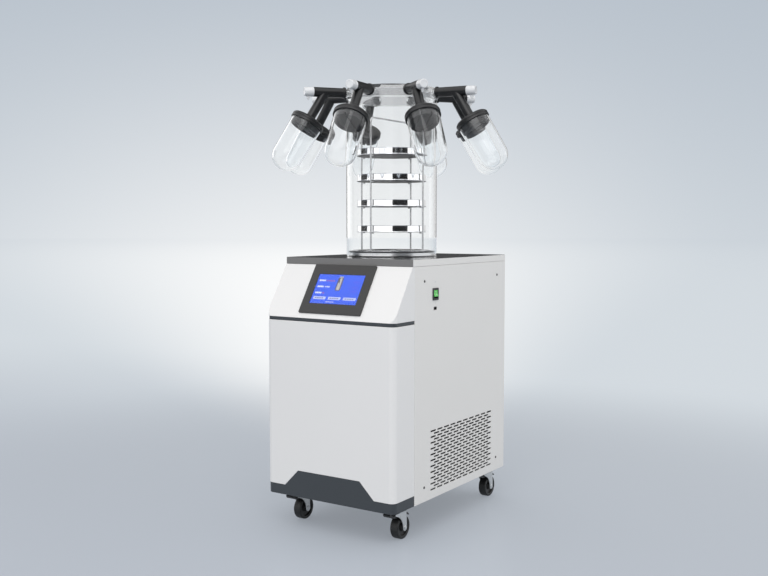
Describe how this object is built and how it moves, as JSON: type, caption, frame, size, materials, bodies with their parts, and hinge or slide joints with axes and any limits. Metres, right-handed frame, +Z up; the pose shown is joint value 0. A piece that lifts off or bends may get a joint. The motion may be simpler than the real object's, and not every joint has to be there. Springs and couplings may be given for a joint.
{
  "type": "freeze dryer",
  "caption": "Floor-standing laboratory freeze dryer: a castored cabinet with a sloping touch display, a clear chamber with a rack of trays, and a ring of valves holding flasks.",
  "frame": {"origin": "on the floor, on the upright axis of the drying chamber", "axes": "+Z up, the front of the cabinet faces -Y, +X is the right-hand side as seen from the front"},
  "size_m": [0.6918, 0.6918, 1.221],
  "materials": {
    "white_panel": "satin white paint",
    "deck": "dark glossy paint",
    "slate_plastic": "textured slate plastic",
    "charcoal_plastic": "fine-textured charcoal plastic",
    "screen": "lit blue display under clear glass",
    "black_plastic": "satin black plastic",
    "pedal_plastic": "moulded black nylon",
    "green_plastic": "translucent green plastic",
    "stainless": "polished stainless steel",
    "zinc": "bright zinc plate",
    "tyre": "dark grey rubber tread",
    "rubber": "satin black rubber",
    "knob_plastic": "white plastic",
    "flask_glass": "clear blown glass",
    "chamber_acrylic": "clear cast acrylic, frosted at the collar",
    "machine_paint": "black paint over steel and fins"
  },
  "bodies": {
    "root": {"base_frame": "zinc", "side_panel_right": "white_panel", "side_panel_left": "white_panel", "rear_panel": "white_panel", "top_deck": "deck", "control_fascia": "white_panel", "screen_bezel": "charcoal_plastic", "screen_glass": "screen", "trim_band": "slate_plastic", "front_cover": "white_panel", "kick_plate": "slate_plastic", "switch_frame": "black_plastic", "mains_inlet": "black_plastic", "condensing_unit": "machine_paint", "cold_trap": "stainless", "base_ring": "stainless", "drying_chamber": "chamber_acrylic", "tray_rack": "stainless", "tray_1": "stainless", "tray_2": "stainless", "tray_3": "stainless", "tray_4": "stainless", "valve_body_1": "rubber", "flask_1": "flask_glass", "valve_body_2": "rubber", "flask_2": "flask_glass", "valve_body_3": "rubber", "flask_3": "flask_glass", "valve_body_4": "rubber", "flask_4": "flask_glass", "valve_body_5": "rubber", "flask_5": "flask_glass", "valve_body_6": "rubber", "flask_6": "flask_glass", "valve_body_7": "rubber", "flask_7": "flask_glass", "valve_body_8": "rubber", "flask_8": "flask_glass"},
    "rocker": {"switch_rocker": "green_plastic"},
    "fan": {"fan_rotor": "black_plastic"},
    "knob_1": {"valve_knob_1": "knob_plastic"},
    "knob_2": {"valve_knob_2": "knob_plastic"},
    "knob_3": {"valve_knob_3": "knob_plastic"},
    "knob_4": {"valve_knob_4": "knob_plastic"},
    "knob_5": {"valve_knob_5": "knob_plastic"},
    "knob_6": {"valve_knob_6": "knob_plastic"},
    "knob_7": {"valve_knob_7": "knob_plastic"},
    "knob_8": {"valve_knob_8": "knob_plastic"},
    "castor_front_left": {"castor_fork_front_left": "zinc"},
    "wheel_front_left": {"castor_wheel_front_left": "tyre"},
    "brake_front_left": {"castor_pedal_front_left": "pedal_plastic"},
    "castor_front_right": {"castor_fork_front_right": "zinc"},
    "wheel_front_right": {"castor_wheel_front_right": "tyre"},
    "brake_front_right": {"castor_pedal_front_right": "pedal_plastic"},
    "castor_back_left": {"castor_fork_back_left": "zinc"},
    "wheel_back_left": {"castor_wheel_back_left": "tyre"},
    "brake_back_left": {"castor_pedal_back_left": "pedal_plastic"},
    "castor_back_right": {"castor_fork_back_right": "zinc"},
    "wheel_back_right": {"castor_wheel_back_right": "tyre"},
    "brake_back_right": {"castor_pedal_back_right": "pedal_plastic"}
  },
  "joints": [
    {"name": "rocker_tilt", "type": "hinge", "parent": "root", "child": "rocker", "pos_m": [0.202, -0.106, 0.6495], "axis": [0, 1, 0], "range_deg": [0, 22]},
    {"name": "fan_spin", "type": "hinge", "parent": "root", "child": "fan", "pos_m": [0.132, 0.048, 0.1833], "axis": [1, 0, 0], "continuous": true},
    {"name": "knob_turn_1", "type": "hinge", "parent": "root", "child": "knob_1", "pos_m": [0.22863, 0.0301, 1.2048], "axis": [0.9914, 0.1305, 0], "range_deg": [0, 180]},
    {"name": "knob_turn_2", "type": "hinge", "parent": "root", "child": "knob_2", "pos_m": [0.14038, 0.18295, 1.2048], "axis": [0.6088, 0.7934, 0], "range_deg": [0, 180]},
    {"name": "knob_turn_3", "type": "hinge", "parent": "root", "child": "knob_3", "pos_m": [-0.0301, 0.22863, 1.2048], "axis": [-0.1305, 0.9914, 0], "range_deg": [0, 180]},
    {"name": "knob_turn_4", "type": "hinge", "parent": "root", "child": "knob_4", "pos_m": [-0.18295, 0.14038, 1.2048], "axis": [-0.7934, 0.6088, 0], "range_deg": [0, 180]},
    {"name": "knob_turn_5", "type": "hinge", "parent": "root", "child": "knob_5", "pos_m": [-0.22863, -0.0301, 1.2048], "axis": [-0.9914, -0.1305, 0], "range_deg": [0, 180]},
    {"name": "knob_turn_6", "type": "hinge", "parent": "root", "child": "knob_6", "pos_m": [-0.14038, -0.18295, 1.2048], "axis": [-0.6088, -0.7934, 0], "range_deg": [0, 180]},
    {"name": "knob_turn_7", "type": "hinge", "parent": "root", "child": "knob_7", "pos_m": [0.0301, -0.22863, 1.2048], "axis": [0.1305, -0.9914, 0], "range_deg": [0, 180]},
    {"name": "knob_turn_8", "type": "hinge", "parent": "root", "child": "knob_8", "pos_m": [0.18295, -0.14038, 1.2048], "axis": [0.7934, -0.6088, 0], "range_deg": [0, 180]},
    {"name": "castor_swivel_front_left", "type": "hinge", "parent": "root", "child": "castor_front_left", "pos_m": [-0.163, -0.23, 0.087], "axis": [0, 0, 1], "continuous": true},
    {"name": "wheel_roll_front_left", "type": "hinge", "parent": "castor_front_left", "child": "wheel_front_left", "pos_m": [-0.163, -0.208, 0.0315], "axis": [1, 0, 0], "continuous": true},
    {"name": "brake_press_front_left", "type": "hinge", "parent": "castor_front_left", "child": "brake_front_left", "pos_m": [-0.163, -0.23, 0.066], "axis": [1, 0, 0], "range_deg": [-6, 0]},
    {"name": "castor_swivel_front_right", "type": "hinge", "parent": "root", "child": "castor_front_right", "pos_m": [0.163, -0.23, 0.087], "axis": [0, 0, 1], "continuous": true},
    {"name": "wheel_roll_front_right", "type": "hinge", "parent": "castor_front_right", "child": "wheel_front_right", "pos_m": [0.163, -0.208, 0.0315], "axis": [1, 0, 0], "continuous": true},
    {"name": "brake_press_front_right", "type": "hinge", "parent": "castor_front_right", "child": "brake_front_right", "pos_m": [0.163, -0.23, 0.066], "axis": [1, 0, 0], "range_deg": [-6, 0]},
    {"name": "castor_swivel_back_left", "type": "hinge", "parent": "root", "child": "castor_back_left", "pos_m": [-0.163, 0.267, 0.087], "axis": [0, 0, 1], "continuous": true},
    {"name": "wheel_roll_back_left", "type": "hinge", "parent": "castor_back_left", "child": "wheel_back_left", "pos_m": [-0.163, 0.289, 0.0315], "axis": [1, 0, 0], "continuous": true},
    {"name": "brake_press_back_left", "type": "hinge", "parent": "castor_back_left", "child": "brake_back_left", "pos_m": [-0.163, 0.267, 0.066], "axis": [1, 0, 0], "range_deg": [-6, 0]},
    {"name": "castor_swivel_back_right", "type": "hinge", "parent": "root", "child": "castor_back_right", "pos_m": [0.163, 0.267, 0.087], "axis": [0, 0, 1], "continuous": true},
    {"name": "wheel_roll_back_right", "type": "hinge", "parent": "castor_back_right", "child": "wheel_back_right", "pos_m": [0.163, 0.289, 0.0315], "axis": [1, 0, 0], "continuous": true},
    {"name": "brake_press_back_right", "type": "hinge", "parent": "castor_back_right", "child": "brake_back_right", "pos_m": [0.163, 0.267, 0.066], "axis": [1, 0, 0], "range_deg": [-6, 0]}
  ]
}
